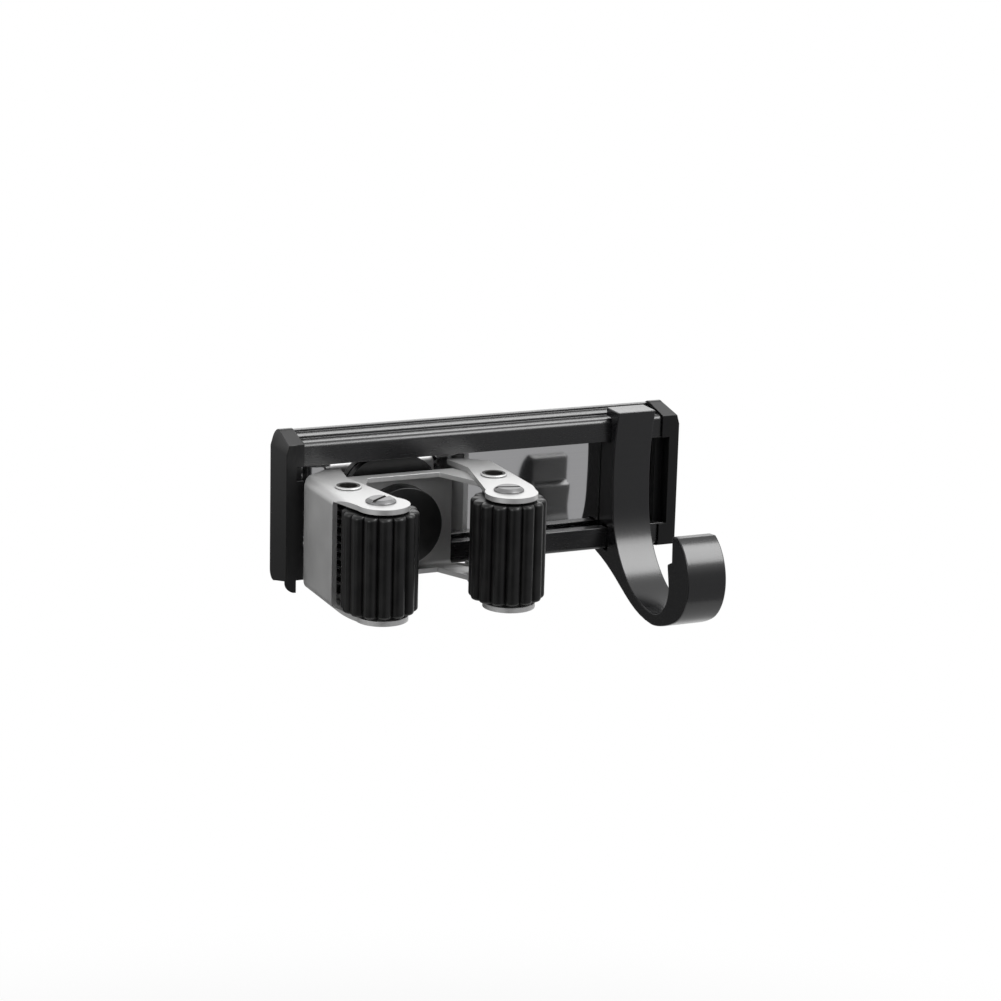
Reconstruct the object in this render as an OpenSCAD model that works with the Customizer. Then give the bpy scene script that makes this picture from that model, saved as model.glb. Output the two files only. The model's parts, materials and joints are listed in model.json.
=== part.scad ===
// Wall rack: an extruded rail with a sliding sprung roller clip and a sliding hook.
// The origin is the centre of the rail's back face on the wall. +X runs along the rail, -Y points away from the
// wall and +Z is up. Outlines below are written in u, the distance out from the wall, so y = -u.

/* [Rail] */
// Length of the extruded rail between its end caps
rail_length = 97.2; // [90:0.1:140]
// Height of the rail at the wall
rail_height = 35.3; // [34:0.1:44]
// How far the rail's face stands out from the wall
rail_depth = 10; // [9:0.1:14]
// Thickness of the tall flange that lies on the wall
back_flange = 1.5; // [1:0.1:3]
// Depth of the first tread in the stepped long edges
tread_depth = 4; // [2.5:0.1:5]
// Height of the step down to the first tread
first_step = 0.6; // [0.3:0.05:1]
// Height of the step down to the second tread
second_step = 0.67; // [0.3:0.05:1]
// Rounding of the rail's front long edges
front_round = 1.2; // [0.6:0.1:2]
// Height of the open window in the rail's face
window_height = 21.7; // [19:0.1:23]
// Thickness of the two lips beside the window
lip_thickness = 2.8; // [2:0.1:3.4]
// Height of the slot behind the lips
slot_height = 25.8; // [24:0.1:27]
// Depth of the slot behind the lips
slot_depth = 3; // [2.6:0.1:3.6]
// Height of the land between the two tape grooves in the back
land_height = 11; // [8:0.5:14]
// Height of a tape groove in the back
groove_height = 8; // [5:0.5:9]
// Depth of a tape groove
groove_depth = 1.2; // [0.5:0.1:1.8]

/* [Wall screws] */
// Distance of a wall screw hole from the rail's end
wall_hole_inset = 9.6; // [7:0.1:18]
// Diameter of the wall screw holes
wall_hole_d = 4.4; // [3.5:0.1:5.5]
// Diameter of the hole for the screw head in the liner
head_hole_d = 8.4; // [7:0.1:10]

/* [Liner] */
// Thickness of the bright strip on the channel floor
liner_thickness = 0.8; // [0.5:0.1:1.2]
// Gap between the strip's long edges and the slot
liner_gap = 0.1; // [0.05:0.05:0.3]

/* [End caps] */
// Thickness of an end cap
cap_thickness = 2.6; // [2:0.1:4]
// How far a cap stands proud of the rail's face and of its long edges
cap_proud = 0.7; // [0.6:0.05:1]
// Rounding of a cap's outline at the wall
cap_round = 2.3; // [1:0.1:3]
// Width of the slope at the top of a cap's outer face
cap_slope_width = 1.2; // [0.4:0.1:1.8]
// Height of the slope at the top of a cap's outer face
cap_slope_height = 4.2; // [1:0.1:8]
// How far a cap wraps over the rail's end
cap_wrap = 2; // [1:0.1:2.4]
// Thickness of the left cap's front flange past the rail's face
cap_flange_thickness = 1; // [0.8:0.05:1.5]
// How far the left cap's front flange hangs below the rail's face
cap_flange_drop = 2.9; // [1:0.1:4]
// Rounding of the flange's lower outer corner
cap_flange_round = 2.4; // [1:0.1:2.5]
// Length of the cap's plug in the slot
plug_length = 2; // [1.5:0.1:2.4]
// Gap round the plug
plug_gap = 0.1; // [0.05:0.05:0.3]

/* [Hook] */
// Width of the hook along the rail
hook_width = 10; // [8:0.1:16]
// Place of the hook's middle along the rail
hook_at = 37.8; // [25:0.1:38]
// Running gap between the hook and the rail
hook_gap = 0.3; // [0.2:0.05:0.5]
// Thickness of the hook's blade in front of the lips
blade_thickness = 1.9; // [1.5:0.1:4]
// How far the top claw reaches back over the rail
claw_reach = 2.6; // [1.5:0.1:4]
// Thickness of the top claw at its back
claw_thickness = 2.2; // [1.5:0.1:4]
// Radius of the long bow in the upper front
bow_r = 60; // [50:1:90]
// Height of the bow's centre above the rail's middle
bow_level = 3.65; // [0:0.05:6]
// Radius of the throat where the blade sweeps outwards
throat_r = 22.5; // [18:0.1:26]
// How far the throat's centre lies below the rail's middle
throat_fall = 2.85; // [0:0.05:6]
// Inside radius of the heel before the upturned lip
heel_r = 8.4; // [6:0.1:10]
// Wall below the throat
trough_wall = 2.95; // [2:0.05:4]
// Radius of the rounded outer side of the lip
bulb_r = 11.7; // [10:0.1:13]
// How far the bulb's centre lies behind the lip's inner face
bulb_back = 1.65; // [0.5:0.05:3]
// How far the bulb's centre lies above the bottom of the throat
bulb_rise = 11.3; // [10:0.1:13]
// Height of the lip above the bottom of the throat
lip_rise = 21.3; // [16:0.1:22]
// Where the lip's round outer side ends at its top, in degrees above level
tip_angle = 62; // [50:1:68]
// Depth of the step in the lip's inner face
lip_step = 2.2; // [1:0.1:3]

/* [Clip] */
// Place of the clip's middle along the rail
clip_at = -23.2; // [-24:0.1:-10]
// Height of the clip's mid-plane, below the rail's middle when negative
clip_level = -4.25; // [-5:0.05:-4]
// Outside height of an arm
arm_height = 27.2; // [27:0.1:32]
// Thickness of the steel sheet
sheet = 1.2; // [1:0.05:1.4]
// Gap between sliding sheet faces
sheet_gap = 0.1; // [0.05:0.01:0.2]
// Distance of the pivots from the wall
pivot_out = 25.5; // [25:0.1:28]
// Half distance between the two roller pins
pin_half = 15.8; // [15:0.05:16.5]
// Distance of the roller pins from the wall
pin_out = 39.6; // [38.5:0.1:44]
// Half distance over the outer faces of the arms
arm_half = 24.5; // [24:0.1:27]
// How far an arm's pivot lies inside its outer face
pivot_inset = 6.3; // [5.8:0.1:7.5]
// Distance of the arms' rear edge from the wall
arm_rear = 13.6; // [13.2:0.1:15]
// Outside radius of the sheet's bends
bend_r = 2.2; // [1.6:0.1:2.4]
// Gap between an arm's web and its roller
web_gap = 3.1; // [0.5:0.1:5]
// Radius of the ear's round front end
ear_end_r = 6.1; // [5:0.1:7]
// How far the ear's tail reaches behind the arm's rear edge
ear_tail = 5.4; // [3:0.1:5.6]
// How far the ear's waist starts in front of the arm's rear edge
ear_waist = 3.6; // [2:0.1:6]
// Half width of the bracket's back plate
bracket_half = 13.8; // [13:0.1:14]
// How far the bracket's flanges reach past its back plate between the horns
flange_reach = 3.2; // [2.4:0.1:4]
// Radius of the bracket's round horn ends
horn_r = 3.9; // [3.4:0.05:4.2]
// Outside diameter of the hollow pivot rivet
rivet_d = 5.2; // [4.6:0.1:5.4]
// Bore of the hollow pivot rivet
rivet_bore_d = 4.2; // [3:0.1:4.8]
// Diameter of the rivet's rolled rims
rivet_rim_d = 6.2; // [5.8:0.1:7]
// Height of the rivet's rolled rims
rivet_rim_h = 0.4; // [0.2:0.05:0.8]
// Running clearance of pins in their holes
pin_clearance = 0.05; // [0.02:0.01:0.08]

/* [Springs] */
// Wire of the arm springs
wire_d = 0.9; // [0.6:0.05:1]
// Gap between the spring and its rivet
spring_gap = 0.3; // [0.2:0.05:0.4]
// Turns of an arm spring, in half turns past a whole number
spring_turns = 9.5; // [6.5:1:11.5]
// Length of a spring's straight legs
leg_length = 7; // [4:0.5:8]

/* [Rollers] */
// Diameter over the roller's lobes
roller_d = 17.6; // [16:0.1:19]
// Number of lobes round a roller
lobes = 14; // [10:1:18]
// Radius of one lobe
lobe_r = 1.7; // [1.65:0.05:2.1]
// Diameter of the roller's core
core_d = 10; // [8:0.1:11]
// Diameter of the roller pin
pin_d = 4; // [3:0.1:5]
// Diameter of the roller pin's head
pin_head_d = 7; // [5.6:0.1:8]
// Height of the roller pin's head
pin_head_h = 0.9; // [0.6:0.1:1.5]
// Width of the slot in the roller pin's head
pin_slot_w = 0.9; // [0.6:0.1:1.4]
// Thickness of the washers at the roller's ends
washer_thickness = 0.4; // [0.3:0.05:0.8]
// Edge bevel at the roller's ends
roller_bevel = 0.7; // [0.3:0.1:1.2]

/* [Slider and buffer] */
// Half length of the slider in the slot
slider_half = 13; // [12:0.1:15]
// Half width of the slider's raised middle
neck_half = 11.5; // [10:0.1:12]
// Rounding of the raised middle's corners
neck_round = 8; // [2:0.1:9]
// How far the slider's tongues reach in between the lips
tongue_lap = 0.5; // [0.3:0.1:2]
// Running gap of the slider in the slot
slider_gap = 0.25; // [0.15:0.05:0.4]
// Half distance between the clip screws
screw_half = 4.6; // [4:0.1:5]
// How far the clip screws lie above the clip's mid-plane
screw_rise = 1.2; // [0:0.1:3]
// Diameter of the clip screws
screw_d = 3.8; // [3:0.1:4]
// Diameter of the clip screw heads
screw_head_d = 6.6; // [5.5:0.1:7]
// Height of the clip screw heads
screw_head_h = 2; // [1.4:0.1:2.2]
// Diameter of the slider's bosses for the clip screws
boss_d = 7.2; // [6:0.1:8]
// Width across the flats of the slider nuts
nut_flats = 6.6; // [5.5:0.1:7]
// Thickness of the slider nuts
nut_thickness = 2; // [1.6:0.1:2.2]
// Diameter of the rubber buffer
buffer_d = 19; // [18:0.1:21]
// Thickness of the rubber buffer at its edge
buffer_thickness = 4.5; // [2.6:0.1:5]
// How far the buffer's middle bulges past its edge
buffer_crown = 0.8; // [0.3:0.1:1.5]
// Gap round the screw heads in the buffer
pocket_gap = 0.3; // [0.1:0.05:0.4]

/* [Hidden] */
$fn = 64;
// Overrun of every cut past the face that it opens
over = 1;

// Rail levels
back_half = rail_height / 2;
tread_half = back_half - first_step;
face_half = tread_half - second_step;
tread_end = back_flange + tread_depth;
window_half = window_height / 2;
slot_half = slot_height / 2;
slot_mouth = rail_depth - lip_thickness;
slot_floor = slot_mouth - slot_depth;
liner_top = slot_floor + liner_thickness;
rail_end = rail_length / 2;

// Cap levels
cap_out = rail_depth + cap_proud;
cap_half = back_half + cap_proud;
cap_flange_low = -face_half - cap_flange_drop;

// Hook levels
blade_rear = rail_depth + hook_gap;
blade_front = blade_rear + blade_thickness;
bow_u = blade_front + bow_r;
throat_u = bow_u - sqrt(bow_r ^ 2 - (bow_level + throat_fall) ^ 2) + throat_r;
throat_bottom = -throat_fall - throat_r;
trough_bottom = throat_bottom - trough_wall;
heel_level = throat_bottom + heel_r;
lip_face = throat_u + heel_r;
bulb_u = lip_face - bulb_back;
bulb_level = throat_bottom + bulb_rise;
tip_level = throat_bottom + lip_rise;
hook_top = face_half + hook_gap + claw_thickness;
bow_low = asin((bow_level + throat_fall) / bow_r);
bow_high = asin((hook_top - bow_level) / bow_r);
claw_back = rail_depth - claw_reach;
foot_back = back_flange + blade_thickness;
foot_top = tread_half + hook_gap;
foot_tip = foot_top + blade_thickness / 2;
// Control points of the hook's underside, as shares of its run and its fall
underside_shares = [[0, 0], [0.46, 0.32], [0.59, 1], [1, 1]];
// Level of the step in the lip's inner face, as a share of the lip's height above the throat, and how far the
// face above it leans back towards the tip, as a share of the step
lip_step_share = 0.68;
lip_lean_share = 0.4;
// Where the lip's round outer side starts at its bottom, in degrees, and how long its blend below that is
bulb_start = -55;
bulb_blend_share = 0.3;
curve_steps = 12;

// Clip levels
arm_half_height = arm_height / 2;
pivot_half = arm_half - pivot_inset;
ear_inside = arm_half_height - sheet;
flange_outside = ear_inside - sheet_gap;
flange_inside = flange_outside - sheet;
plate_rear = rail_depth + sheet_gap;
plate_front = plate_rear + sheet;
web_front = pin_out - sqrt(max(0, (roller_d / 2) ^ 2 - (arm_half - sheet - pin_half) ^ 2)) - web_gap;
// Centre of the ear's round front end, in front of the roller pin by a share of its own radius
ear_shift_share = 0.25;
ear_end_out = pin_out + ear_end_r * ear_shift_share;
ear_tail_out = arm_rear - ear_tail;
// Inner edge and tail of the ear, as shares of the pivot's half distance
ear_waist_share = 0.84;
ear_tail_share = 0.75;
ear_heel_share = 0.94;
ear_waist_out = arm_rear + ear_waist;
// Root of the bracket's horns, as a share of the back plate's half width
horn_root_share = 0.66;
// How far out the sides of the horns and ears run into their round ends, as a share of the ends' radius
end_side_share = 0.9;
flange_front = plate_front + flange_reach;
rivet_hole_d = rivet_d + 2 * pin_clearance;
spring_r = rivet_d / 2 + spring_gap + wire_d / 2;
spring_rise = 2 * flange_inside - 4 * wire_d;
rings_per_turn = 8;
wire_sides = 6;

// Roller levels
roller_half = ear_inside - washer_thickness - 2 * sheet_gap;
lobe_centre = roller_d / 2 - lobe_r;
core_bore_d = pin_d + 2 * pin_clearance;
// Flat tops of the pin's upper and lower heads as shares of the head, and the washer as a share of the core
pin_top_share = 0.75;
pin_foot_share = 0.8;
washer_share = 0.75;

// Slider and buffer levels
slider_rear = liner_top + slider_gap;
slider_front = slot_mouth - slider_gap;
neck_front = slot_mouth + slider_gap;
neck_tall = window_half - slider_gap;
slider_tall = slot_half - slider_gap;
tongue_low = neck_tall - tongue_lap;
tongue_middle = (slider_tall + tongue_low) / 2;
screw_level = clip_level + screw_rise;
nut_front = slider_rear + sheet_gap + nut_thickness;
// Arms of the cross recess in a clip screw, as shares of its head
recess_length_share = 0.6;
recess_width_share = 0.14;
recess_depth_share = 0.3;

black = "#1c1c1e";
rubber = "#141414";
steel = "#d4d6d8";
bright = "#8f9194";

// A point of an outline seen from the side, at distance u from the wall and height z
function uz(u, z) = [-u, z];
// A point of the clip's plan, at distance e to the left of its middle and u from the wall
function eu(e, u) = [-e, -u];
// Points along an arc from one angle to another
function arc(centre, r, from, to, step = 4) = let (n = ceil(abs(to - from) / step))
    [for (i = [0 : n]) let (a = from + (to - from) * i / n) centre + r * [cos(a), sin(a)]];
// A point on a cubic curve with four control points
function curve(p, t) = let (s = 1 - t)
    s ^ 3 * p[0] + 3 * s ^ 2 * t * p[1] + 3 * s * t ^ 2 * p[2] + t ^ 3 * p[3];

// Extrudes a side outline along the rail
module along_rail(from, length) {
    translate([from, 0, 0]) rotate([90, 0, 90]) linear_extrude(length) children();
}

// A round bar that points out from the wall
module out_bar(x, z, d, from, to) {
    translate([x, -from, z]) rotate([90, 0, 0]) cylinder(d = d, h = to - from);
}

// Places what is modelled for the left side of the clip, or its mirror image on the right
module clip_side(right) {
    translate([clip_at, 0, clip_level]) mirror([right ? 1 : 0, 0, 0]) children();
}

// A plate in the clip's plan between two heights
module plan_plate(low, high) {
    translate([0, 0, low]) linear_extrude(high - low) children();
}

// Upper half of the rail's section, from the window outwards
module rail_half_section() {
    polygon([
        uz(0, 0), uz(0, back_half), uz(back_flange, back_half), uz(back_flange, tread_half),
        uz(tread_end, tread_half), uz(tread_end, face_half), uz(rail_depth - front_round, face_half),
        uz(rail_depth, face_half - front_round), uz(rail_depth, window_half), uz(slot_mouth, window_half),
        uz(slot_mouth, slot_half), uz(slot_floor, slot_half), uz(slot_floor, 0)
    ]);
    translate(uz(rail_depth - front_round, face_half - front_round)) circle(front_round);
}

module wall_holes(d, from, to) {
    for (x = [wall_hole_inset - rail_end, rail_end - wall_hole_inset]) out_bar(x, 0, d, from, to);
}

module rail() {
    color(black) difference() {
        along_rail(-rail_end, rail_length) difference() {
            union() {
                rail_half_section();
                mirror([0, 1]) rail_half_section();
            }
            for (level = [land_height / 2, -land_height / 2 - groove_height])
                translate(uz(groove_depth, level)) square([groove_depth + over, groove_height]);
        }
        wall_holes(wall_hole_d, -over, slot_floor + over);
    }
}

module channel_liner() {
    half = slot_half - liner_gap;
    color(bright) difference() {
        along_rail(-rail_end, rail_length) polygon([
            uz(slot_floor, -half), uz(slot_floor, half), uz(liner_top, half), uz(liner_top, -half)
        ]);
        wall_holes(head_hole_d, slot_floor - over, liner_top + over);
    }
}

// Upper half of a cap's side outline: round at the wall, with a slanted end that follows the rail's steps
module cap_half_outline() {
    polygon([
        uz(0, 0), uz(0, cap_half - cap_round), uz(cap_round, cap_half), uz(cap_out, face_half), uz(cap_out, 0)
    ]);
    translate(uz(cap_round, cap_half - cap_round)) circle(cap_round);
}

module cap_outline() {
    cap_half_outline();
    mirror([0, 1]) cap_half_outline();
}

// Space that the upper half of the rail takes up inside a cap, with its window left open
module cap_room() {
    polygon([
        uz(-over, -over), uz(-over, back_half + plug_gap), uz(back_flange + plug_gap, back_half + plug_gap),
        uz(back_flange + plug_gap, tread_half + plug_gap), uz(tread_end + plug_gap, tread_half + plug_gap),
        uz(tread_end + plug_gap, face_half + plug_gap), uz(rail_depth + plug_gap, face_half + plug_gap),
        uz(rail_depth + plug_gap, window_half + plug_gap), uz(cap_out + over, window_half + plug_gap),
        uz(cap_out + over, -over)
    ]);
}

// What the slope takes off the top of a cap's outer face
module cap_slope(outer) {
    translate([0, over, 0]) rotate([90, 0, 0]) linear_extrude(cap_out + 2 * over) polygon([
        [outer - over, cap_half + over], [outer - over, cap_half - cap_slope_height],
        [outer, cap_half - cap_slope_height], [outer + cap_slope_width, cap_half],
        [outer + cap_slope_width, cap_half + over]
    ]);
}

// Flange in front of the rail's left end, with a round lower corner
module cap_flange(outer) {
    translate([0, -rail_depth - plug_gap, 0]) rotate([90, 0, 0]) linear_extrude(cap_flange_thickness) {
        polygon([
            [outer, cap_flange_low + cap_flange_round], [outer + cap_flange_round, cap_flange_low],
            [-rail_end, cap_flange_low], [-rail_end, face_half], [outer, face_half]
        ]);
        translate([outer, cap_flange_low]) intersection() {
            square(cap_flange_round);
            translate([cap_flange_round, cap_flange_round]) circle(cap_flange_round);
        }
    }
}

module end_cap(right) {
    plug_half = slot_half - plug_gap;
    outer = -rail_end - cap_thickness;
    color(black) mirror([right ? 1 : 0, 0, 0]) {
        difference() {
            union() {
                along_rail(outer, cap_thickness) cap_outline();
                if (!right) cap_flange(outer);
            }
            cap_slope(outer);
        }
        along_rail(-rail_end, cap_wrap) difference() {
            cap_outline();
            cap_room();
            mirror([0, 1]) cap_room();
        }
        along_rail(-rail_end, plug_length) polygon([
            uz(liner_top + plug_gap, -plug_half), uz(liner_top + plug_gap, plug_half),
            uz(slot_mouth - plug_gap, plug_half), uz(slot_mouth - plug_gap, -plug_half)
        ]);
    }
}

module left_end_cap() { end_cap(false); }
module right_end_cap() { end_cap(true); }

// Side outline of the hook: a foot under the rail, a rounded lip, the throat, a bowed front and a claw over the
// top. Its tongue fills the channel behind both lips of the rail.
module hook_outline() {
    fall = trough_bottom + foot_tip;
    run = throat_u - foot_back;
    underside = [for (s = underside_shares) [foot_back + s[0] * run, s[1] * fall - foot_tip]];
    trough = [throat_u, trough_bottom];
    turn = [bulb_u, bulb_level] + bulb_r * [cos(bulb_start), sin(bulb_start)];
    turn_rise = bulb_r * bulb_blend_share;
    outside = [
        trough, trough + [turn_rise, 0],
        turn + turn_rise * [sin(bulb_start), -cos(bulb_start)], turn
    ];
    step_level = throat_bottom + lip_rise * lip_step_share;
    tip_face = lip_face + lip_step * lip_lean_share;
    tongue_mouth = slot_mouth - hook_gap;
    tongue_rear = liner_top + hook_gap;
    tongue_half = slot_half - hook_gap;
    neck_half_height = window_half - hook_gap;
    lip_half = face_half + hook_gap;
    points = concat(
        [for (i = [0 : curve_steps - 1]) curve(underside, i / curve_steps)],
        [for (i = [0 : curve_steps - 1]) curve(outside, i / curve_steps)],
        arc([bulb_u, bulb_level], bulb_r, bulb_start, tip_angle),
        [
            [tip_face, tip_level], [lip_face + lip_step / 2, step_level + lip_step / 4],
            [lip_face - lip_step / 2, step_level - lip_step / 4]
        ],
        arc([throat_u, heel_level], heel_r, 0, -90),
        arc([throat_u, -throat_fall], throat_r, -93, -180),
        arc([bow_u, bow_level], bow_r, 179 + bow_low, 180 - bow_high),
        [
            [claw_back, hook_top], [claw_back, lip_half],
            [blade_rear, lip_half], [blade_rear, neck_half_height],
            [tongue_mouth, neck_half_height], [tongue_mouth, tongue_half], [tongue_rear, tongue_half],
            [tongue_rear, -tongue_half], [tongue_mouth, -tongue_half], [tongue_mouth, -neck_half_height],
            [blade_rear, -neck_half_height], [blade_rear, -lip_half], [tread_end + hook_gap, -lip_half],
            [tread_end + hook_gap, -foot_top], [foot_back, -foot_top]
        ]
    );
    polygon([for (p = points) uz(p[0], p[1])]);
}

module hook() {
    color(black) along_rail(hook_at - hook_width / 2, hook_width) hook_outline();
}

// Rounded outline of the slider's raised middle, seen from the front
module neck_outline() {
    for (x = [-1, 1]) for (z = [-1, 1])
        translate([x * (neck_half - neck_round), z * (neck_tall - neck_round)]) circle(neck_round);
    square([2 * neck_half, 2 * (neck_tall - neck_round)], center = true);
    square([2 * (neck_half - neck_round), 2 * neck_tall], center = true);
}

// Extrudes a front outline between two distances from the wall
module front_plate(from, to) {
    translate([clip_at, -from, 0]) rotate([90, 0, 0]) linear_extrude(to - from) children();
}

module screw_places() {
    for (x = [clip_at - screw_half, clip_at + screw_half]) translate([x, 0, screw_level]) children();
}

module clip_slider() {
    pocket_d = (nut_flats + 2 * sheet_gap) / cos(30);
    pocket_depth = nut_front + sheet_gap - slider_rear;
    color(black) difference() {
        union() {
            for (z = [-1, 1]) front_plate(slider_rear, slider_front) translate([0, z * tongue_middle])
                square([2 * slider_half, slider_tall - tongue_low], center = true);
            front_plate(slider_rear, neck_front) neck_outline();
            screw_places() out_bar(0, 0, boss_d, slider_front, rail_depth);
        }
        screw_places() {
            out_bar(0, 0, screw_d + 2 * pin_clearance, slider_rear - over, rail_depth + over);
            translate([0, over - slider_rear, 0]) rotate([90, 0, 0])
                cylinder(d = pocket_d, h = pocket_depth + over, $fn = 6);
        }
    }
}

module slider_nuts() {
    color(steel) screw_places() difference() {
        translate([0, nut_thickness - nut_front, 0]) rotate([90, 0, 0])
            cylinder(d = nut_flats / cos(30), h = nut_thickness, $fn = 6);
        out_bar(0, 0, screw_d + 2 * pin_clearance, nut_front - nut_thickness - over, nut_front + over);
    }
}

// One horn of a bracket flange, from the back plate out to the pivot
module horn_outline() {
    side = horn_r * end_side_share;
    polygon([
        eu(0, plate_rear), eu(bracket_half, plate_rear), eu(bracket_half, plate_front + sheet),
        eu(pivot_half + side * cos(20), pivot_out - side * sin(20)),
        eu(pivot_half - side * cos(40), pivot_out + side * sin(40)),
        eu(bracket_half * horn_root_share, flange_front), eu(0, flange_front)
    ]);
    translate(eu(pivot_half, pivot_out)) circle(horn_r);
}

module bracket_flange() {
    difference() {
        union() {
            horn_outline();
            mirror([1, 0]) horn_outline();
        }
        translate(eu(pivot_half, pivot_out)) circle(d = rivet_hole_d);
        translate(eu(-pivot_half, pivot_out)) circle(d = rivet_hole_d);
    }
}

module clip_bracket() {
    reach = pivot_half + horn_r + over;
    color(steel) difference() {
        translate([clip_at, 0, clip_level]) {
            intersection() {
                union() {
                    plan_plate(flange_inside, flange_outside) bracket_flange();
                    plan_plate(-flange_outside, -flange_inside) bracket_flange();
                }
                translate([reach, -plate_rear, 0]) rotate([90, 0, -90]) linear_extrude(2 * reach)
                    bend_outline(flange_outside, pivot_out, bend_r);
            }
            translate([bracket_half, -plate_rear, 0]) rotate([90, 0, -90]) linear_extrude(2 * bracket_half)
                bend_sheet(flange_outside);
        }
        screw_places() out_bar(0, 0, screw_d + 2 * pin_clearance, plate_rear - over, plate_front + over);
    }
}

module clip_screws() {
    tip = slider_rear + sheet_gap;
    color(steel) screw_places() difference() {
        union() {
            out_bar(0, 0, screw_d, tip, plate_front);
            out_bar(0, 0, screw_head_d, plate_front, plate_front + screw_head_h);
        }
        for (turn = [0, 90]) translate([0, -plate_front - screw_head_h, 0]) rotate([0, turn, 0])
            cube(screw_head_d * [recess_length_share, recess_depth_share, recess_width_share], center = true);
    }
}

module pole_buffer() {
    r = buffer_d / 2;
    edge = plate_front + buffer_thickness;
    pocket_front = plate_front + screw_head_h + pocket_gap;
    crown_r = (r ^ 2 + buffer_crown ^ 2) / (2 * buffer_crown);
    color(rubber) difference() {
        intersection() {
            out_bar(clip_at, clip_level, buffer_d, plate_front, edge + buffer_crown + over);
            translate([clip_at, crown_r - edge - buffer_crown, clip_level]) sphere(crown_r, $fn = 128);
        }
        screw_places() out_bar(0, 0, screw_head_d + 2 * pocket_gap, plate_front - over, pocket_front);
    }
}

// Hollow rivet with a rolled rim outside each ear
module pivot_rivet(right) {
    rim = arm_half_height + sheet_gap;
    color(steel) clip_side(right) translate(eu(pivot_half, pivot_out)) rotate_extrude() polygon([
        [rivet_bore_d / 2, -rim - rivet_rim_h], [rivet_rim_d / 2 - rivet_rim_h / 2, -rim - rivet_rim_h],
        [rivet_rim_d / 2, -rim - rivet_rim_h / 2], [rivet_rim_d / 2, -rim], [rivet_d / 2, -rim],
        [rivet_d / 2, rim], [rivet_rim_d / 2, rim], [rivet_rim_d / 2, rim + rivet_rim_h / 2],
        [rivet_rim_d / 2 - rivet_rim_h / 2, rim + rivet_rim_h], [rivet_bore_d / 2, rim + rivet_rim_h]
    ]);
}

module left_pivot_rivet() { pivot_rivet(false); }
module right_pivot_rivet() { pivot_rivet(true); }

// Arm spring: a coil round the rivet whose two straight legs point to the wall
spring_steps = spring_turns * rings_per_turn;
function spring_angle(i) = 180 + 360 * i / rings_per_turn;
function spring_height(i) = spring_rise * (0.5 - i / spring_steps);
function spring_centre(i) = let (a = spring_angle(i)) [spring_r * cos(a), spring_r * sin(a), spring_height(i)];
function wire_ring(centre, angle) = [
    for (k = [0 : wire_sides - 1]) let (a = 360 * k / wire_sides)
        centre + wire_d / 2 * [cos(a) * cos(angle), cos(a) * sin(angle), sin(a)]
];
spring_rings = concat(
    [wire_ring(spring_centre(0) + [0, leg_length, 0], spring_angle(0))],
    [for (i = [0 : spring_steps]) wire_ring(spring_centre(i), spring_angle(i))],
    [wire_ring(spring_centre(spring_steps) + [0, leg_length, 0], spring_angle(spring_steps))]
);
spring_gaps = [for (i = [0 : spring_steps - rings_per_turn])
    norm(spring_centre(i) - spring_centre(i + rings_per_turn)) - wire_d];
echo(str("least gap between spring turns: ", min(spring_gaps), " mm"));

module arm_spring(right) {
    last = len(spring_rings) - 1;
    faces = concat(
        [for (k = [1 : wire_sides - 2]) [0, k, k + 1]],
        [for (i = [0 : last - 1]) for (k = [0 : wire_sides - 1]) let (n = (k + 1) % wire_sides)
            each [
                [i * wire_sides + k, (i + 1) * wire_sides + k, i * wire_sides + n],
                [i * wire_sides + n, (i + 1) * wire_sides + k, (i + 1) * wire_sides + n]
            ]],
        [for (k = [1 : wire_sides - 2]) [last * wire_sides, last * wire_sides + k + 1, last * wire_sides + k]]
    );
    color(steel) clip_side(right) translate(eu(pivot_half, pivot_out))
        polyhedron([for (ring = spring_rings) each ring], faces);
}

module left_arm_spring() { arm_spring(false); }
module right_arm_spring() { arm_spring(true); }

// Ear of an arm: a round end over the roller, a waist beside the pole and a tail towards the rail
module ear_outline() {
    side = ear_end_r * end_side_share;
    polygon([
        eu(arm_half, arm_rear), eu(arm_half, web_front), eu(pin_half + ear_end_r, ear_end_out),
        eu(pin_half, ear_end_out),
        eu(pin_half - side * cos(15), ear_end_out - side * sin(15)),
        eu(pivot_half * ear_waist_share, ear_waist_out), eu(pivot_half * ear_tail_share, ear_tail_out),
        eu(pivot_half * ear_heel_share, ear_tail_out)
    ]);
    translate(eu(pin_half, ear_end_out)) circle(ear_end_r);
}

// Outline of a bent channel, open on one side, with round bends along its back at x = 0
module bend_outline(half_height, depth, r) {
    translate([0, r - half_height]) square([depth, 2 * (half_height - r)]);
    translate([r, -half_height]) square([depth - r, 2 * half_height]);
    for (z = [-1, 1]) translate([r, z * (half_height - r)]) circle(r);
}

// Sheet of a bent channel: its back and both bends
module bend_sheet(half_height) {
    difference() {
        bend_outline(half_height, 2 * bend_r, bend_r);
        translate([sheet, 0]) bend_outline(half_height - sheet, 2 * bend_r, bend_r - sheet);
    }
}

// Pivot and pin holes, right through an arm
module arm_holes() {
    translate(eu(pivot_half, pivot_out)) cylinder(d = rivet_hole_d, h = arm_height + over, center = true);
    translate(eu(pin_half, pin_out)) cylinder(d = core_bore_d, h = arm_height + over, center = true);
}

module arm(right) {
    color(steel) clip_side(right) difference() {
        union() {
            intersection() {
                union() {
                    plan_plate(ear_inside, arm_half_height) ear_outline();
                    plan_plate(-arm_half_height, -ear_inside) ear_outline();
                }
                translate([-arm_half, 0, 0]) rotate([90, 0, 0]) linear_extrude(ear_end_out + ear_end_r + over)
                    bend_outline(arm_half_height, arm_half, bend_r);
            }
            translate([-arm_half, -arm_rear, 0]) rotate([90, 0, 0]) linear_extrude(web_front - arm_rear)
                bend_sheet(arm_half_height);
        }
        arm_holes();
    }
}

module left_arm() { arm(false); }
module right_arm() { arm(true); }

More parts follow.
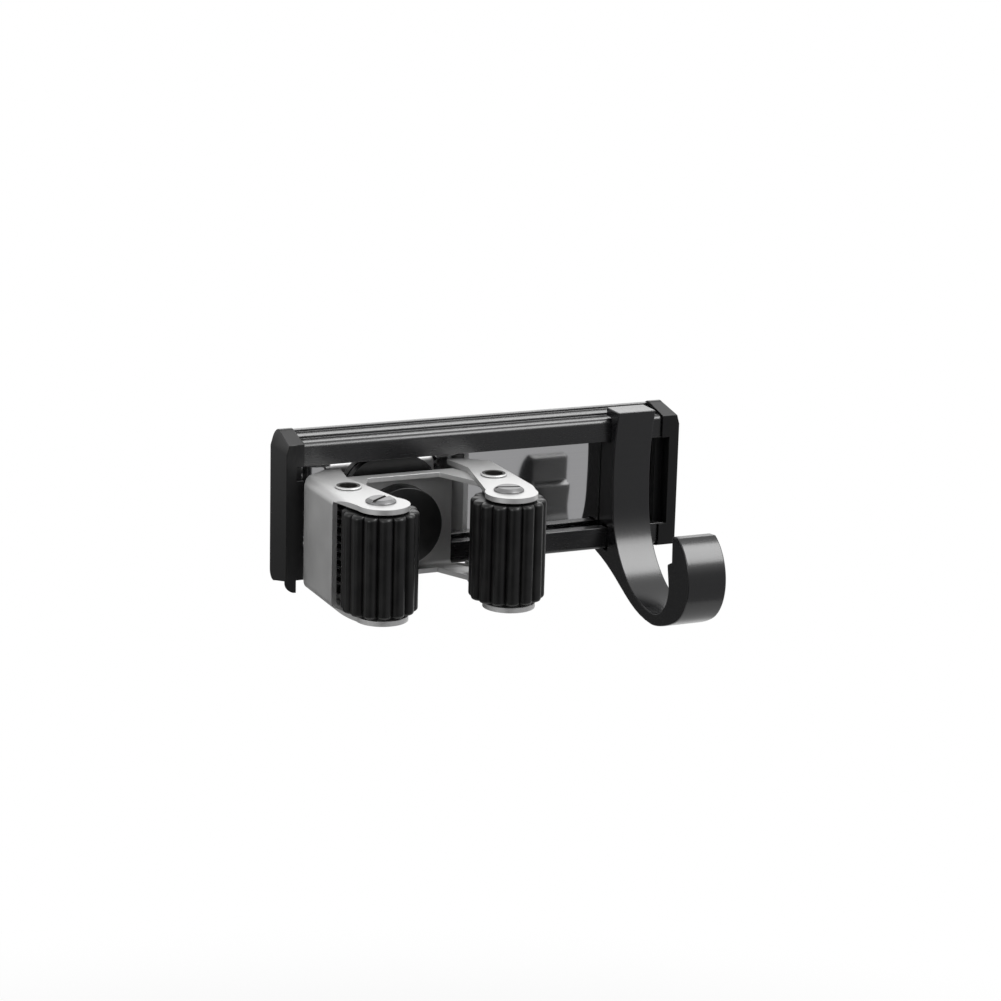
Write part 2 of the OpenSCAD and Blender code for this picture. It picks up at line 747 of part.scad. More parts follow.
// Roller pin: a slotted domed head above the top ear and a flat rivet head below
module roller_pin(right) {
    head = arm_half_height;
    r = pin_head_d / 2;
    color(steel) clip_side(right) translate(eu(pin_half, pin_out)) difference() {
        rotate_extrude() polygon([
            [0, -head - pin_head_h], [r * pin_foot_share, -head - pin_head_h], [r, -head], [pin_d / 2, -head],
            [pin_d / 2, head], [r, head], [r, head + pin_head_h / 3], [r * pin_top_share, head + pin_head_h],
            [0, head + pin_head_h]
        ]);
        translate([0, 0, head + pin_head_h]) cube([pin_head_d * 2, pin_slot_w, pin_head_h], center = true);
    }
}

module left_roller_pin() { roller_pin(false); }
module right_roller_pin() { roller_pin(true); }

module roller_washers(right) {
    color(black) clip_side(right) translate(eu(pin_half, pin_out)) for (level = [1, -1])
        translate([0, 0, level * (ear_inside - sheet_gap / 2 - washer_thickness / 2)]) difference() {
            cylinder(d = core_d * washer_share, h = washer_thickness, center = true);
            cylinder(d = core_bore_d, h = washer_thickness + over, center = true);
        }
}

module left_roller_washers() { roller_washers(false); }
module right_roller_washers() { roller_washers(true); }

module roller_core(right) {
    color(black) clip_side(right) translate(eu(pin_half, pin_out)) difference() {
        cylinder(d = core_d, h = 2 * roller_half, center = true);
        cylinder(d = core_bore_d, h = 2 * roller_half + over, center = true);
    }
}

module left_roller_core() { roller_core(false); }
module right_roller_core() { roller_core(true); }

// Rubber sleeve: a ring of upright lobes, bevelled at both ends
module roller_sleeve(right) {
    r = roller_d / 2;
    color(rubber) clip_side(right) translate(eu(pin_half, pin_out)) difference() {
        intersection() {
            linear_extrude(2 * roller_half, center = true) {
                circle(lobe_centre);
                for (i = [0 : lobes - 1]) rotate(360 * i / lobes) translate([lobe_centre, 0]) circle(lobe_r);
            }
            rotate_extrude() polygon([
                [0, -roller_half], [r - roller_bevel, -roller_half], [r, roller_bevel - roller_half],
                [r, roller_half - roller_bevel], [r - roller_bevel, roller_half], [0, roller_half]
            ]);
        }
        cylinder(d = core_d + 2 * pin_clearance, h = 2 * roller_half + over, center = true);
    }
}

module left_roller_sleeve() { roller_sleeve(false); }
module right_roller_sleeve() { roller_sleeve(true); }

rail();
channel_liner();
left_end_cap();
right_end_cap();
hook();
clip_slider();
slider_nuts();
clip_bracket();
clip_screws();
pole_buffer();
left_pivot_rivet();
right_pivot_rivet();
left_arm_spring();
right_arm_spring();
left_arm();
right_arm();
left_roller_pin();
right_roller_pin();
left_roller_washers();
right_roller_washers();
left_roller_core();
right_roller_core();
left_roller_sleeve();
right_roller_sleeve();
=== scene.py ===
# Wall rack: a black rail with a sprung roller clip and a curled hook, dressed for its picture.
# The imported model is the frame. Lengths are in metres, +X runs along the rail, -Y points out from the wall.
import json
import math

import bpy
from mathutils import Matrix, Vector


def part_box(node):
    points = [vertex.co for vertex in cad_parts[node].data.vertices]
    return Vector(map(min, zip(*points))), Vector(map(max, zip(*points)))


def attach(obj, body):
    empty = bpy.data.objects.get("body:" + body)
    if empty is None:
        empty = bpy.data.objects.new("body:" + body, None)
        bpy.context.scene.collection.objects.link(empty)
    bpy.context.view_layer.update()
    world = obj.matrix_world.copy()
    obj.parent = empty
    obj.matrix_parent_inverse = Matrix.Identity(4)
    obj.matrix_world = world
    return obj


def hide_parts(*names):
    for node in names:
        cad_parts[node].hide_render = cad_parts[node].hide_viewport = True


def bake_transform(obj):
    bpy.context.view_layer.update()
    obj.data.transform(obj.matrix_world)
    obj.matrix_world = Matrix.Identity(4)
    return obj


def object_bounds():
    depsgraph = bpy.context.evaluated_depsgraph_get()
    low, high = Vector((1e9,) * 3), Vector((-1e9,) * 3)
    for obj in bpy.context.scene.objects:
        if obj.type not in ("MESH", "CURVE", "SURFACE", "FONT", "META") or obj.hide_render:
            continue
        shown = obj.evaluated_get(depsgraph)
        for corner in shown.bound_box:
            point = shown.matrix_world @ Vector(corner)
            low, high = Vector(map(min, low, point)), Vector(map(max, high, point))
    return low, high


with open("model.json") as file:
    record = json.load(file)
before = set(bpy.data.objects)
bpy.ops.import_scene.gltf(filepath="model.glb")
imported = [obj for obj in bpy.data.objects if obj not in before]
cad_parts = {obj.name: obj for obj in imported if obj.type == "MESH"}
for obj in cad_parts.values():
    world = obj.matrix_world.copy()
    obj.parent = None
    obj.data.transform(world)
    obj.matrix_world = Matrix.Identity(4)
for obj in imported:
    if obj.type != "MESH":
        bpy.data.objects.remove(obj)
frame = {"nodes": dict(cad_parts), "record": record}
cad_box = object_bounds()

# Camera: it stands left of the rack and a little above it, about 73 cm away, and looks down at it.
# The long lens keeps the rail's edges nearly parallel.
camera_place = (-0.28340, -0.64520, 0.18447)
camera_yaw = math.radians(24.34)
camera_pitch = math.radians(14.94)
camera_roll = math.radians(1.53)
camera_lens = 107.9
camera_sensor = 36.0

bpy.ops.object.camera_add(location=camera_place)
camera = bpy.context.object
camera.matrix_world = (
    Matrix.Translation(camera_place)
    @ Matrix.Rotation(-camera_yaw, 4, "Z")
    @ Matrix.Rotation(math.pi / 2 - camera_pitch, 4, "X")
    @ Matrix.Rotation(camera_roll, 4, "Z")
)
camera.data.lens = camera_lens
camera.data.sensor_width = camera_sensor
camera.data.sensor_fit = "HORIZONTAL"
bpy.context.scene.camera = camera
bpy.context.scene.view_settings.view_transform = "Standard"


# Studio: a pale floor below the rack, a white surround, a soft box overhead and weaker ones left and behind.
# Below the rack the floor is plain matt white and takes its shadow. Further out it fades into the surround.
# Curved grey cards in front, on the left and behind are what the polished and black faces mirror.
class Wire:
    """One shader socket. Arithmetic on wires adds Math nodes, and node() adds any other node."""

    def __init__(self, tree, socket=None):
        self.tree = tree
        self.socket = socket

    def node(self, kind, sockets=(), **settings):
        made = self.tree.nodes.new("ShaderNode" + kind)
        for name, value in settings.items():
            setattr(made, name, value)
        for name, value in dict(sockets).items():
            if isinstance(value, Wire):
                self.tree.links.new(value.socket, made.inputs[name])
            else:
                made.inputs[name].default_value = value
        return Wire(self.tree, made.outputs[0])

    def out(self, name):
        return Wire(self.tree, self.socket.node.outputs[name])

    def feed(self, node, name):
        self.tree.links.new(self.socket, node.inputs[name])

    def math(self, operation, first, second):
        return self.node("Math", {0: first, 1: second}, operation=operation)

    def __add__(self, other):
        return self.math("ADD", self, other)

    def __sub__(self, other):
        return self.math("SUBTRACT", self, other)

    def __rsub__(self, other):
        return self.math("SUBTRACT", other, self)

    def __mul__(self, other):
        return self.math("MULTIPLY", self, other)

    __radd__ = __add__
    __rmul__ = __mul__

    def between(self, low, high):
        """Zero below low, one above high and a smooth rise between them."""
        return self.node(
            "MapRange", {"Value": self, "From Min": low, "From Max": high}, interpolation_type="SMOOTHSTEP"
        )


def seen_directly(tree):
    """One for rays from the camera and for those that show the surround in metal or through glass."""
    rays = Wire(tree).node("LightPath")
    return rays + rays.out("Is Glossy Ray") + rays.out("Is Transmission Ray")


ambient = 0.42
floor_drop = 0.40
floor_size = 12.0
floor_near = 0.25
floor_far = 0.75
floor_colour = (0.86, 0.86, 0.86, 1)
card_facets = 120
white = (1, 1, 1, 1)

world = bpy.data.worlds.new("white_surround")
bpy.context.scene.world = world
world.use_nodes = True
surround = world.node_tree.nodes["Background"]
surround.inputs["Color"].default_value = white
(seen_directly(world.node_tree) * (1 - ambient) + ambient).feed(surround, "Strength")

bpy.ops.mesh.primitive_plane_add(size=floor_size, location=(0, 0, cad_box[0].z - floor_drop))
floor = bpy.context.object
floor.name = "floor"


def new_finish(name, fixed):
    """A material with its even values set on the shader's own sockets, and its Object coordinates."""
    finish = bpy.data.materials.new(name)
    finish.use_nodes = True
    shader = finish.node_tree.nodes["Principled BSDF"]
    for socket, value in fixed.items():
        shader.inputs[socket].default_value = value
    place = Wire(finish.node_tree).node("TexCoord").out("Object")
    return finish, shader, place


def mixed(factor, low, high):
    """A colour between low and high."""
    return factor.node("Mix", {0: factor, 6: low, 7: high}, data_type="RGBA").out(2)


floor_finish, matt, floor_place = new_finish(
    "pale_floor", {"Base Color": floor_colour, "Roughness": 0.9, "Specular IOR Level": 0.1}
)
away = floor_place.node("VectorMath", {0: floor_place}, operation="LENGTH").out("Value")
glow = floor_place.node("Emission", {"Color": white})
fade = away.between(floor_near, floor_far) * seen_directly(floor_finish.node_tree)
blend = floor_place.node("MixShader", {0: fade, 2: glow})
floor_finish.node_tree.links.new(matt.outputs[0], blend.socket.node.inputs[1])
blend.feed(floor_finish.node_tree.nodes["Material Output"], "Surface")
floor.data.materials.append(floor_finish)


def select_only(piece):
    bpy.ops.object.select_all(action="DESELECT")
    piece.select_set(True)
    bpy.context.view_layer.objects.active = piece


def pick(piece, kind, test):
    """Leaves the piece in edit mode with only those points or faces selected that pass the test."""
    if piece.mode == "OBJECT":
        select_only(piece)
        bpy.ops.object.mode_set(mode="EDIT")
    bpy.ops.mesh.select_mode(type=kind)
    bpy.ops.mesh.select_all(action="DESELECT")
    bpy.ops.object.mode_set(mode="OBJECT")
    for item in piece.data.vertices if kind == "VERT" else piece.data.polygons:
        item.select = test(item)
    bpy.ops.object.mode_set(mode="EDIT")


def shade_card(name, radius, facing, half_width, even, top, rise, grey):
    """A curved card round the rack that only reflections show. It thins out sideways from the angle even to
    half_width, both counted from the way it faces, and upwards from the height rise to its top."""
    bottom = floor.location.z
    ahead = Vector((math.sin(math.radians(facing)), -math.cos(math.radians(facing)), 0))
    edge = math.cos(math.radians(half_width))
    bpy.ops.object.select_all(action="DESELECT")
    bpy.ops.mesh.primitive_cylinder_add(
        vertices=card_facets, radius=radius, depth=top - bottom, end_fill_type="NOTHING",
        location=(0, 0, (top + bottom) / 2),
    )
    card = bpy.context.object
    card.name = name
    bpy.ops.object.transform_apply(location=True, rotation=False, scale=False)
    pick(card, "FACE", lambda face: face.center.dot(ahead) < radius * edge)
    bpy.ops.mesh.delete(type="FACE")
    bpy.ops.object.mode_set(mode="OBJECT")
    finish, shader, place = new_finish(name + "_grey", {})
    along = place.node("VectorMath", {0: place, 1: ahead}, operation="DOT_PRODUCT").out("Value")
    turned = along * (1 / radius)
    height = place.node("SeparateXYZ", {"Vector": place}).out("Z")
    shade = turned.between(edge, math.cos(math.radians(even))) * (1 - height.between(rise, top))
    blend = place.node(
        "MixShader", {0: shade, 1: place.node("BsdfTransparent"), 2: place.node("Emission", {"Color": grey})}
    )
    blend.feed(finish.node_tree.nodes["Material Output"], "Surface")
    card.data.materials.append(finish)
    card.visible_camera = card.visible_diffuse = card.visible_transmission = card.visible_shadow = False


for name, radius, facing, half_width, even, top, rise, grey in [
    ("front_card", 0.42, 22, 80, 50, 0.20, 0.03, (0.34, 0.34, 0.345, 1)),
    ("left_card", 0.40, -48, 56, 34, 0.16, 0.00, (0.05, 0.05, 0.05, 1)),
    ("rear_card", 0.42, -152, 55, 35, 0.14, -0.14, (0.09, 0.09, 0.09, 1)),
]:
    shade_card(name, radius, facing, half_width, even, top, rise, grey)

for name, spot, tilt, size, power in [
    ("soft_box_above", (0.30, -0.33, 0.50), (25, 25, 0), (0.30, 0.50), 3.4),
    ("soft_box_left", (-0.75, -0.40, 0.20), (77, 0, -62), (0.30, 0.50), 2.2),
    ("soft_box_behind", (0.40, 0.86, 0.38), (-68, 0, -25), (0.90, 0.28), 1.4),
]:
    turn = [math.radians(angle) for angle in tilt]
    bpy.ops.object.light_add(type="AREA", location=spot, rotation=turn)
    lamp = bpy.context.object
    lamp.name = name
    lamp.data.shape = "RECTANGLE"
    lamp.data.size, lamp.data.size_y = size
    lamp.data.energy = power

# Rail: a black anodised aluminium extrusion with stepped long edges and a channel between two lips.
# The die leaves fine lines along it, and sawing and tumbling ease its edges, which are painted lighter in
# patches, partly as wear where the black wears thin and partly as a painted edge highlight.
rail_edge = 0.00016
rail_black = (0.0045, 0.0045, 0.005, 1)
rail_grey = (0.0095, 0.0095, 0.0102, 1)
# Edge colour: partly wear, partly a painted edge highlight.
rail_wear_and_edge_highlight = (0.11, 0.11, 0.115, 1)
die_lines = (14, 2600, 2600)
etched_grain = 5200
wear_and_highlight_width = 0.00022
wear_and_highlight_share = 0.25
weld = 0.000002
flat_angle = 0.5

bodies = {node: body for body, nodes in frame["record"]["behaviour"]["bodies"].items() for node in nodes}


def smooth(piece, crease=38):
    """Smooth shading that stays flat on flat faces and breaks at edges sharper than crease."""
    select_only(piece)
    bpy.ops.object.shade_smooth_by_angle(angle=math.radians(crease))
    weighted = piece.modifiers.new("even_faces", "WEIGHTED_NORMAL")
    weighted.keep_sharp = True
    bpy.ops.object.modifier_apply(modifier=weighted.name)


def whole_faces(piece):
    """Joins a piece's triangles into whole flat faces."""
    select_only(piece)
    bpy.ops.object.mode_set(mode="EDIT")
    bpy.ops.mesh.select_all(action="SELECT")
    bpy.ops.mesh.remove_doubles(threshold=weld)
    bpy.ops.mesh.dissolve_limited(angle_limit=math.radians(flat_angle))
    bpy.ops.object.mode_set(mode="OBJECT")


def plain_copy(node, name):
    """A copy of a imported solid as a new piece."""
    piece = bpy.data.objects.new(name, frame["nodes"][node].data.copy())
    bpy.context.scene.collection.objects.link(piece)
    piece.data.materials.clear()
    select_only(piece)
    bpy.ops.mesh.customdata_custom_splitnormals_clear()
    whole_faces(piece)
    return piece


def ease(piece, width, steps=3, crease=28):
    """Rounds a piece's edges."""
    bevel = piece.modifiers.new("eased_edges", "BEVEL")
    bevel.width = width
    bevel.segments = steps
    bevel.limit_method = "ANGLE"
    bevel.angle_limit = math.radians(crease)
    bpy.ops.object.modifier_apply(modifier=bevel.name)
    smooth(piece)


def eased_copy(node, name, width, steps=3, crease=28):
    """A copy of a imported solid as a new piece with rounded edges."""
    piece = plain_copy(node, name)
    ease(piece, width, steps, crease)
    return piece


def fit(piece, node, finish):
    """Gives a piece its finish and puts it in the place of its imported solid."""
    piece.data.materials.clear()
    piece.data.materials.append(finish)
    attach(piece, bodies[node])
    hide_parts(node)


def grain(place, scale, detail=2.0, stretch=(1, 1, 1)):
    """Even noise between nought and one, drawn out along an axis where stretch is smaller."""
    stretched = place.node("Mapping", {"Vector": place, "Scale": stretch})
    return place.node("TexNoise", {"Vector": stretched, "Scale": scale, "Detail": detail})


def around(mean, *swings):
    """A value that swings about its mean. Each swing is a noise and its reach from lowest to highest."""
    total = mean - sum(reach for noise, reach in swings) / 2
    for noise, reach in swings:
        total = noise * reach + total
    return total


def bumped(height, strength, distance):
    return height.node("Bump", {"Height": height, "Strength": strength, "Distance": distance})


def edge_mask(place, width, low=0.02, high=0.30):
    """Rises from nought on flat faces to one on edges, within width of them."""
    eased = place.node("Bevel", {"Radius": width}, samples=6)
    true = place.node("NewGeometry").out("True Normal")
    bend = 1 - place.node("VectorMath", {0: eased, 1: true}, operation="DOT_PRODUCT").out("Value")
    return bend.between(low, high)


def anodised(name, roughness):
    finish, shader, place = new_finish(name, {"Specular IOR Level": 0.5, "IOR": 1.62})
    lines = grain(place, scale=1.0, detail=3.0, stretch=die_lines)
    etch = grain(place, scale=etched_grain)
    patches = grain(place, scale=160, detail=4.0)
    # Lighter patches along the edges: partly wear, partly a painted edge highlight.
    wear_and_highlight = edge_mask(place, wear_and_highlight_width) * grain(place, scale=900, detail=3.0).between(0.42, 0.75)
    surface = lines * 0.6 + etch * 0.4
    skin = mixed(surface, rail_black, rail_grey)
    mixed(wear_and_highlight * wear_and_highlight_share, skin, rail_wear_and_edge_highlight).feed(shader, "Base Color")
    around(roughness, (patches, 0.06), (lines, 0.04)).feed(shader, "Roughness")
    bumped(surface, strength=0.04, distance=0.00003).feed(shader, "Normal")
    return finish


rail_finish = anodised("black_anodised_rail", roughness=0.27)
fit(eased_copy("rail", "rail_extrusion", rail_edge), "rail", rail_finish)

# Liner: a polished metal strip that lies on the channel's floor and mirrors what stands in front of it.
# It is slit from a coil, so fine rolling lines run along it, and handling leaves faint smears.
liner_edge = 0.00012
liner_grey = (0.78, 0.78, 0.785, 1)
liner_pale = (0.86, 0.86, 0.862, 1)
rolling_lines = (10, 4200, 4200)
liner_roughness = 0.05

polish, polish_shader, strip_place = new_finish("polished_liner", {"Metallic": 1.0})
rolled = grain(strip_place, scale=1.0, stretch=rolling_lines)
smears = grain(strip_place, scale=90, detail=5.0)
mixed(rolled, liner_grey, liner_pale).feed(polish_shader, "Base Color")
around(liner_roughness, (smears, 0.05), (rolled, 0.02)).feed(polish_shader, "Roughness")
bumped(rolled, strength=0.02, distance=0.00002).feed(polish_shader, "Normal")
fit(eased_copy("channel_liner", "liner_strip", liner_edge), "channel_liner", polish)

# End caps: moulded black plastic shells that wrap over the rail's ends, each held in the channel by a plug.
# The mould is finely spark-eroded, so the plastic is satin, and its edges are rounded. The left one's front
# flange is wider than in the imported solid, but only where no ear of the arm passes.
cap_edge = 0.00022
plastic_roughness = 0.32
plastic_black = (0.0040, 0.0040, 0.0043, 1)
plastic_grey = (0.0085, 0.0085, 0.0088, 1)
flange_root = 0.0009
flange_width = 0.0017
flange_gap = 0.0001
ear_room = 0.00165
window_strip_width = 0.00165
window_strip_depths = (0.00015, 0.0012)
window_strip_half = 0.0107

cap_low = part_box("left_end_cap")[0]
rail_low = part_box("rail")[0]
arm_low, arm_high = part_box("left_arm")
flange_start = rail_low.x - flange_root
# One strip lies in front of the lips, between the levels of the arm's ears, and one in the window behind it.
flange_strips = [
    (
        (flange_start, cap_low.y, arm_low.z + ear_room),
        (rail_low.x + flange_width, rail_low.y - flange_gap, arm_high.z - ear_room),
    ),
    (
        (flange_start, rail_low.y + window_strip_depths[0], -window_strip_half),
        (rail_low.x + window_strip_width, rail_low.y + window_strip_depths[1], window_strip_half),
    ),
]

plastic, plastic_shader, plastic_place = new_finish(
    "black_plastic", {"Specular IOR Level": 0.35, "IOR": 1.46}
)
texture = grain(plastic_place, scale=6500, detail=2.5)
patches = grain(plastic_place, scale=210, detail=4.0)
mixed(texture * 0.5 + patches * 0.5, plastic_black, plastic_grey).feed(plastic_shader, "Base Color")
around(plastic_roughness, (texture, 0.12), (patches, 0.10)).feed(plastic_shader, "Roughness")
bumped(texture, strength=0.08, distance=0.00003).feed(plastic_shader, "Normal")

for side in ("left", "right"):
    node = side + "_end_cap"
    cap = plain_copy(node, side + "_cap_moulding")
    for corner, opposite in flange_strips if side == "left" else []:
        bpy.ops.mesh.primitive_cube_add(
            size=1,
            location=[(low + high) / 2 for low, high in zip(corner, opposite)],
            scale=[high - low for low, high in zip(corner, opposite)],
        )
        strip = bpy.context.object
        select_only(cap)
        wider = cap.modifiers.new("wider_flange", "BOOLEAN")
        wider.operation = "UNION"
        wider.solver = "EXACT"
        wider.object = strip
        bpy.ops.object.modifier_apply(modifier=wider.name)
        bpy.data.objects.remove(strip)
        whole_faces(cap)
    ease(cap, cap_edge)
    fit(cap, node, plastic)

# Slider: a black plastic block whose tongue runs in the channel, with a raised middle and two bosses.
# Two zinc plated hexagon nuts sit in pockets in its back.
slider_edge = 0.00035
nut_edge = 0.00018
zinc_grey = (0.56, 0.57, 0.59, 1)
zinc_pale = (0.68, 0.69, 0.71, 1)


def plated(name, dark, pale, roughness, stretch=(1, 1, 1), scale=1400):
    finish, shader, place = new_finish(name, {"Metallic": 1.0})
    streaks = grain(place, scale, detail=3.0, stretch=stretch)
    clouds = grain(place, scale=130, detail=4.0)
    pits = grain(place, scale=5200)
    mixed(streaks * 0.5 + clouds * 0.5, dark, pale).feed(shader, "Base Color")
    around(roughness, (streaks, 0.10), (clouds, 0.12)).feed(shader, "Roughness")
    bumped(streaks * 0.7 + pits * 0.3, strength=0.06, distance=0.00003).feed(shader, "Normal")
    return finish


zinc = plated("zinc_plate", zinc_grey, zinc_pale, roughness=0.32)
fit(eased_copy("clip_slider", "slider_moulding", slider_edge), "clip_slider", plastic)
fit(eased_copy("slider_nuts", "slider_nut_pair", nut_edge), "slider_nuts", zinc)

# Bracket: a U-shaped steel pressing, nickel plated, held to the slider by two zinc plated screws.
# Its four horns carry the pivots of the arms.
sheet_edge = 0.00022
nickel_grey = (0.56, 0.56, 0.56, 1)
nickel_pale = (0.66, 0.66, 0.655, 1)
polishing_marks = (1, 1, 0.08)
screw_edge = 0.00016

nickel = plated(
    "nickel_plate", nickel_grey, nickel_pale, roughness=0.52, stretch=polishing_marks, scale=1800
)
fit(eased_copy("clip_bracket", "bracket_pressing", sheet_edge), "clip_bracket", nickel)
fit(eased_copy("clip_screws", "clip_screw_pair", screw_edge), "clip_screws", zinc)

# Buffer: a round rubber pad over the screw heads, with a crowned face.
# The rubber is moulded and matt, with a faint grey bloom.
buffer_edge = 0.0007
rubber_roughness = 0.36
rubber_black = (0.0035, 0.0035, 0.0037, 1)
rubber_bloom = (0.008, 0.008, 0.008, 1)

rubber, rubber_shader, rubber_place = new_finish(
    "black_rubber", {"Specular IOR Level": 0.4, "IOR": 1.48}
)
skin = grain(rubber_place, scale=3600, detail=3.0)
bloom = grain(rubber_place, scale=240, detail=5.0)
mixed(bloom.between(0.35, 0.75), rubber_black, rubber_bloom).feed(rubber_shader, "Base Color")
around(rubber_roughness, (skin, 0.10), (bloom, 0.08)).feed(rubber_shader, "Roughness")
bumped(skin, strength=0.08, distance=0.00004).feed(rubber_shader, "Normal")
fit(eased_copy("pole_buffer", "buffer_pad", buffer_edge, steps=4), "pole_buffer", rubber)

# Pivot rivets: hollow nickel plated tubes whose rims are rolled over outside the ears.
# Each carries a torsion spring between the bracket's flanges, and its bore is painted dark as shade.
rivet_edge = 0.00014
# Faces within this radius of the rivet's axis, its bore, get the painted shade.
rivet_bore_shade_r = 0.0027
recess_shade_roughness = 0.475
recess_shade_black = (0.006, 0.0058, 0.0055, 1)
recess_shade_brown = (0.022, 0.020, 0.018, 1)

# A near-black finish painted into bores and slots as shade.
painted_shade, painted_shade_shader, painted_shade_place = new_finish(
    "painted_recess_shade", {"Specular IOR Level": 0.4, "IOR": 1.47}
)
shade_mottle = grain(painted_shade_place, scale=1100, detail=4.0)
mixed(shade_mottle, recess_shade_black, recess_shade_brown).feed(painted_shade_shader, "Base Color")
around(recess_shade_roughness, (shade_mottle, 0.25)).feed(painted_shade_shader, "Roughness")
bumped(shade_mottle, strength=0.2, distance=0.00006).feed(painted_shade_shader, "Normal")


def darken(piece, finish, test):
    """Gives the faces of a piece that pass the test a second finish."""
    piece.data.materials.append(finish)
    for face in piece.data.polygons:
        if test(face):
            face.material_index = 1


for side in ("left", "right"):
    node = side + "_pivot_rivet"
    low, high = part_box(node)
    axis = ((low + high) / 2).xy
    rivet = eased_copy(node, side + "_hollow_rivet", rivet_edge)
    fit(rivet, node, nickel)
    # The bore is painted dark as shade.
    darken(rivet, painted_shade, lambda face: (face.center.xy - axis).length < rivet_bore_shade_r)

# Arm springs: drawn steel wire wound in a coil round each rivet, with two straight legs towards the wall.
# The upper leg presses on the arm, and the lower one on the bracket.
wire_r = 0.00045
wire_rounding = 3
coil_turns = 9.5
coil_points_per_turn = 20
leg_length = 0.007
wire_grey = (0.40, 0.40, 0.41, 1)
wire_pale = (0.54, 0.54, 0.55, 1)

spring_steel = plated("spring_steel", wire_grey, wire_pale, roughness=0.30)
for side, turn, start in (("left", 1, math.pi), ("right", -1, 0)):
    node = side + "_arm_spring"
    low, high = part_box(node)
    coil_r = (high.x - low.x) / 2 - wire_r
    centre = Vector(((low.x + high.x) / 2, low.y + coil_r + wire_r))
    rise = high.z - low.z - 2 * wire_r
    steps = int(coil_turns * coil_points_per_turn)
    route = []
    for step in range(steps + 1):
        angle = start + turn * 2 * math.pi * step / coil_points_per_turn
        route.append(
            (
                centre.x + coil_r * math.cos(angle),
                centre.y + coil_r * math.sin(angle),
                high.z - wire_r - rise * step / steps,
            )
        )
    first, last = route[0], route[-1]
    route.insert(0, (first[0], first[1] + leg_length, first[2]))
    route.append((last[0], last[1] + leg_length, last[2]))
    bpy.ops.object.select_all(action="DESELECT")
    bpy.ops.curve.primitive_nurbs_path_add()
    coil = bpy.context.object
    coil.name = side + "_wire_spring"
    coil.data.splines.clear()
    spline = coil.data.splines.new("POLY")
    spline.points.add(len(route) - 1)
    for point, spot in zip(spline.points, route):
        point.co = (*spot, 1)
    coil.data.bevel_depth = wire_r
    coil.data.bevel_resolution = wire_rounding
    coil.data.use_fill_caps = True
    bpy.ops.object.convert(target="MESH")
    coil = bpy.context.object
    smooth(coil, crease=60)
    coil.data.materials.append(spring_steel)
    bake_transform(coil)
    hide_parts(node)

# Arms: channels pressed from steel sheet and nickel plated, with an ear above and below the roller.
# Blanking leaves a small round on every edge, and polishing leaves faint upright marks in the plate.
for side in ("left", "right"):
    node = side + "_arm"
    fit(eased_copy(node, side + "_arm_pressing", sheet_edge), node, nickel)

# Roller pins: turned steel with a dull plate, a slotted head above the top ear and a riveted head below.
# Each is left turned as it was riveted, and its slot is painted dark as shade.
pin_edge = 0.00008
pin_grey = (0.14, 0.14, 0.142, 1)
pin_pale = (0.27, 0.27, 0.272, 1)
pin_slot_half = 0.00045
pin_slot_depth = 0.00045

dull_nickel = plated("dull_nickel", pin_grey, pin_pale, roughness=0.40)
for side, slot_turn in (("left", 38), ("right", -14)):
    node = side + "_roller_pin"
    low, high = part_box(node)
    centre = (low + high) / 2
    pin = eased_copy(node, side + "_slotted_pin", pin_edge)
    fit(pin, node, dull_nickel)
    # The slot is painted dark as shade.
    darken(
        pin, painted_shade,
        lambda face: abs(face.center.y - centre.y) < pin_slot_half + weld
        and face.center.z > high.z - pin_slot_depth - weld,
    )
    pick(pin, "FACE", lambda face: True)
    bpy.ops.transform.rotate(value=-math.radians(slot_turn), orient_axis="Z", center_override=centre)
    bpy.ops.object.mode_set(mode="OBJECT")

# Washers and cores: plastic discs between ears and rollers, and plastic bushes inside the rubber.
# The bushes turn on the pins, and the discs keep the rubber off the ears.
washer_edge = 0.0001
core_edge = 0.0003
for side in ("left", "right"):
    washers = side + "_roller_washers"
    fit(eased_copy(washers, side + "_thin_washers", washer_edge, steps=2), washers, plastic)
    core = side + "_roller_core"
    fit(eased_copy(core, side + "_roller_bush", core_edge), core, plastic)

# Roller sleeves: moulded rubber with fourteen upright round lobes, pushed over the bushes.
# The round outside of one lobe is repeated round the roller and drawn up, with soft rims at both ends.
lobes = 14
lobe_r = 0.0017
lobe_facets = 48
sleeve_bore_r = 0.00505
rim_round = 0.0009
rim_steps = 5
cut_weld = weld / 10

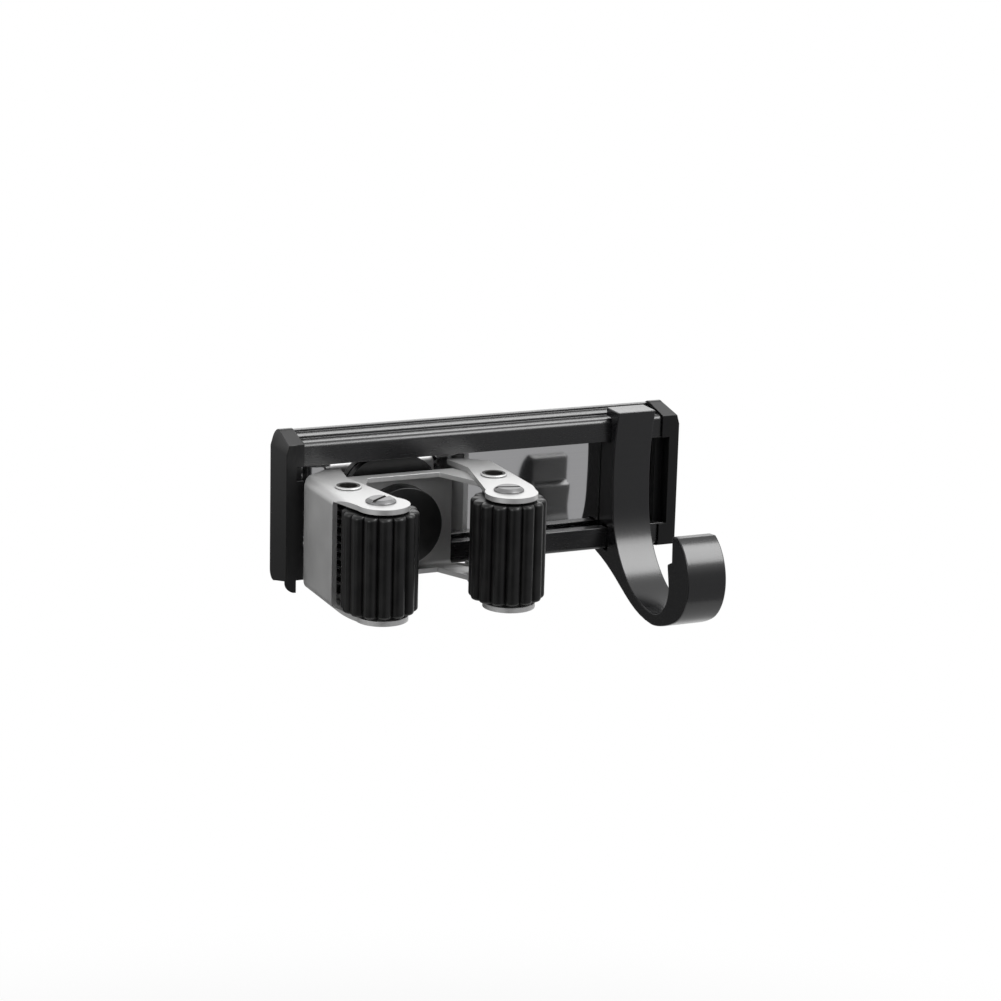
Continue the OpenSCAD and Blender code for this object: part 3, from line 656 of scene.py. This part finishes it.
for side in ("left", "right"):
    node = side + "_roller_sleeve"
    low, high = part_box(node)
    axis = (low + high) / 2
    sleeve_r = (high.x - low.x) / 2
    half_lobe = math.pi / lobes
    bpy.ops.object.select_all(action="DESELECT")
    bpy.ops.mesh.primitive_circle_add(
        vertices=lobe_facets, radius=lobe_r, location=(axis.x + sleeve_r - lobe_r, axis.y, low.z + rim_round)
    )
    sleeve = bpy.context.object
    sleeve.name = side + "_fluted_sleeve"
    bpy.ops.object.transform_apply(location=True, rotation=False, scale=False)
    pick(sleeve, "VERT", lambda point: True)
    for spot, across in [
        ((axis.x + sleeve_r - lobe_r, axis.y, 0), (1, 0, 0)),
        (axis, (math.sin(half_lobe), math.cos(half_lobe), 0)),
        (axis, (math.sin(half_lobe), -math.cos(half_lobe), 0)),
    ]:
        bpy.ops.mesh.select_all(action="SELECT")
        bpy.ops.mesh.bisect(plane_co=spot, plane_no=across, clear_inner=True, threshold=cut_weld)
    bpy.ops.mesh.select_all(action="SELECT")
    bpy.ops.mesh.spin(steps=lobes, dupli=True, angle=2 * math.pi, center=axis, axis=(0, 0, 1))
    bpy.ops.mesh.select_all(action="SELECT")
    bpy.ops.mesh.remove_doubles(threshold=weld)
    straight = high.z - low.z - 2 * rim_round
    bpy.ops.mesh.extrude_region_move(TRANSFORM_OT_translate={"value": (0, 0, straight)})
    for end, level in ((1, high.z - rim_round), (-1, low.z + rim_round)):
        pick(sleeve, "VERT", lambda point: abs(point.co.z - level) < weld)
        drawn = 1.0
        for step in range(1, rim_steps + 1):
            turn = math.pi / 2 * step / rim_steps
            climb = rim_round * (math.sin(turn) - math.sin(turn - math.pi / 2 / rim_steps))
            share = 1 - rim_round * (1 - math.cos(turn)) / sleeve_r
            bpy.ops.mesh.extrude_region_move(TRANSFORM_OT_translate={"value": (0, 0, end * climb)})
            bpy.ops.transform.resize(value=(share / drawn, share / drawn, 1), center_override=axis)
            drawn = share
        bpy.ops.object.mode_set(mode="OBJECT")
    for level in (high.z, low.z):
        pick(sleeve, "VERT", lambda point: abs(point.co.z - level) < weld)
        bpy.ops.mesh.extrude_region_move()
        bpy.ops.object.mode_set(mode="OBJECT")
        for point in sleeve.data.vertices:
            if point.select:
                point.co.xy = axis.xy + (point.co.xy - axis.xy).normalized() * sleeve_bore_r
    pick(sleeve, "VERT", lambda point: (point.co.xy - axis.xy).length < sleeve_bore_r + weld)
    bpy.ops.mesh.bridge_edge_loops()
    bpy.ops.mesh.select_all(action="SELECT")
    bpy.ops.mesh.normals_make_consistent(inside=False)
    bpy.ops.object.mode_set(mode="OBJECT")
    smooth(sleeve, crease=50)
    fit(sleeve, node, rubber)

# Hook: a slice of an aluminium extrusion, black anodised, that clamps both lips of the rail.
# Its front bows and sweeps out into a trough, and the lip curls up in a thick round bulb.
hook_edge = 0.0003

hook_finish = anodised("black_anodised_hook", roughness=0.22)
fit(eased_copy("hook", "hook_slice", hook_edge), "hook", hook_finish)
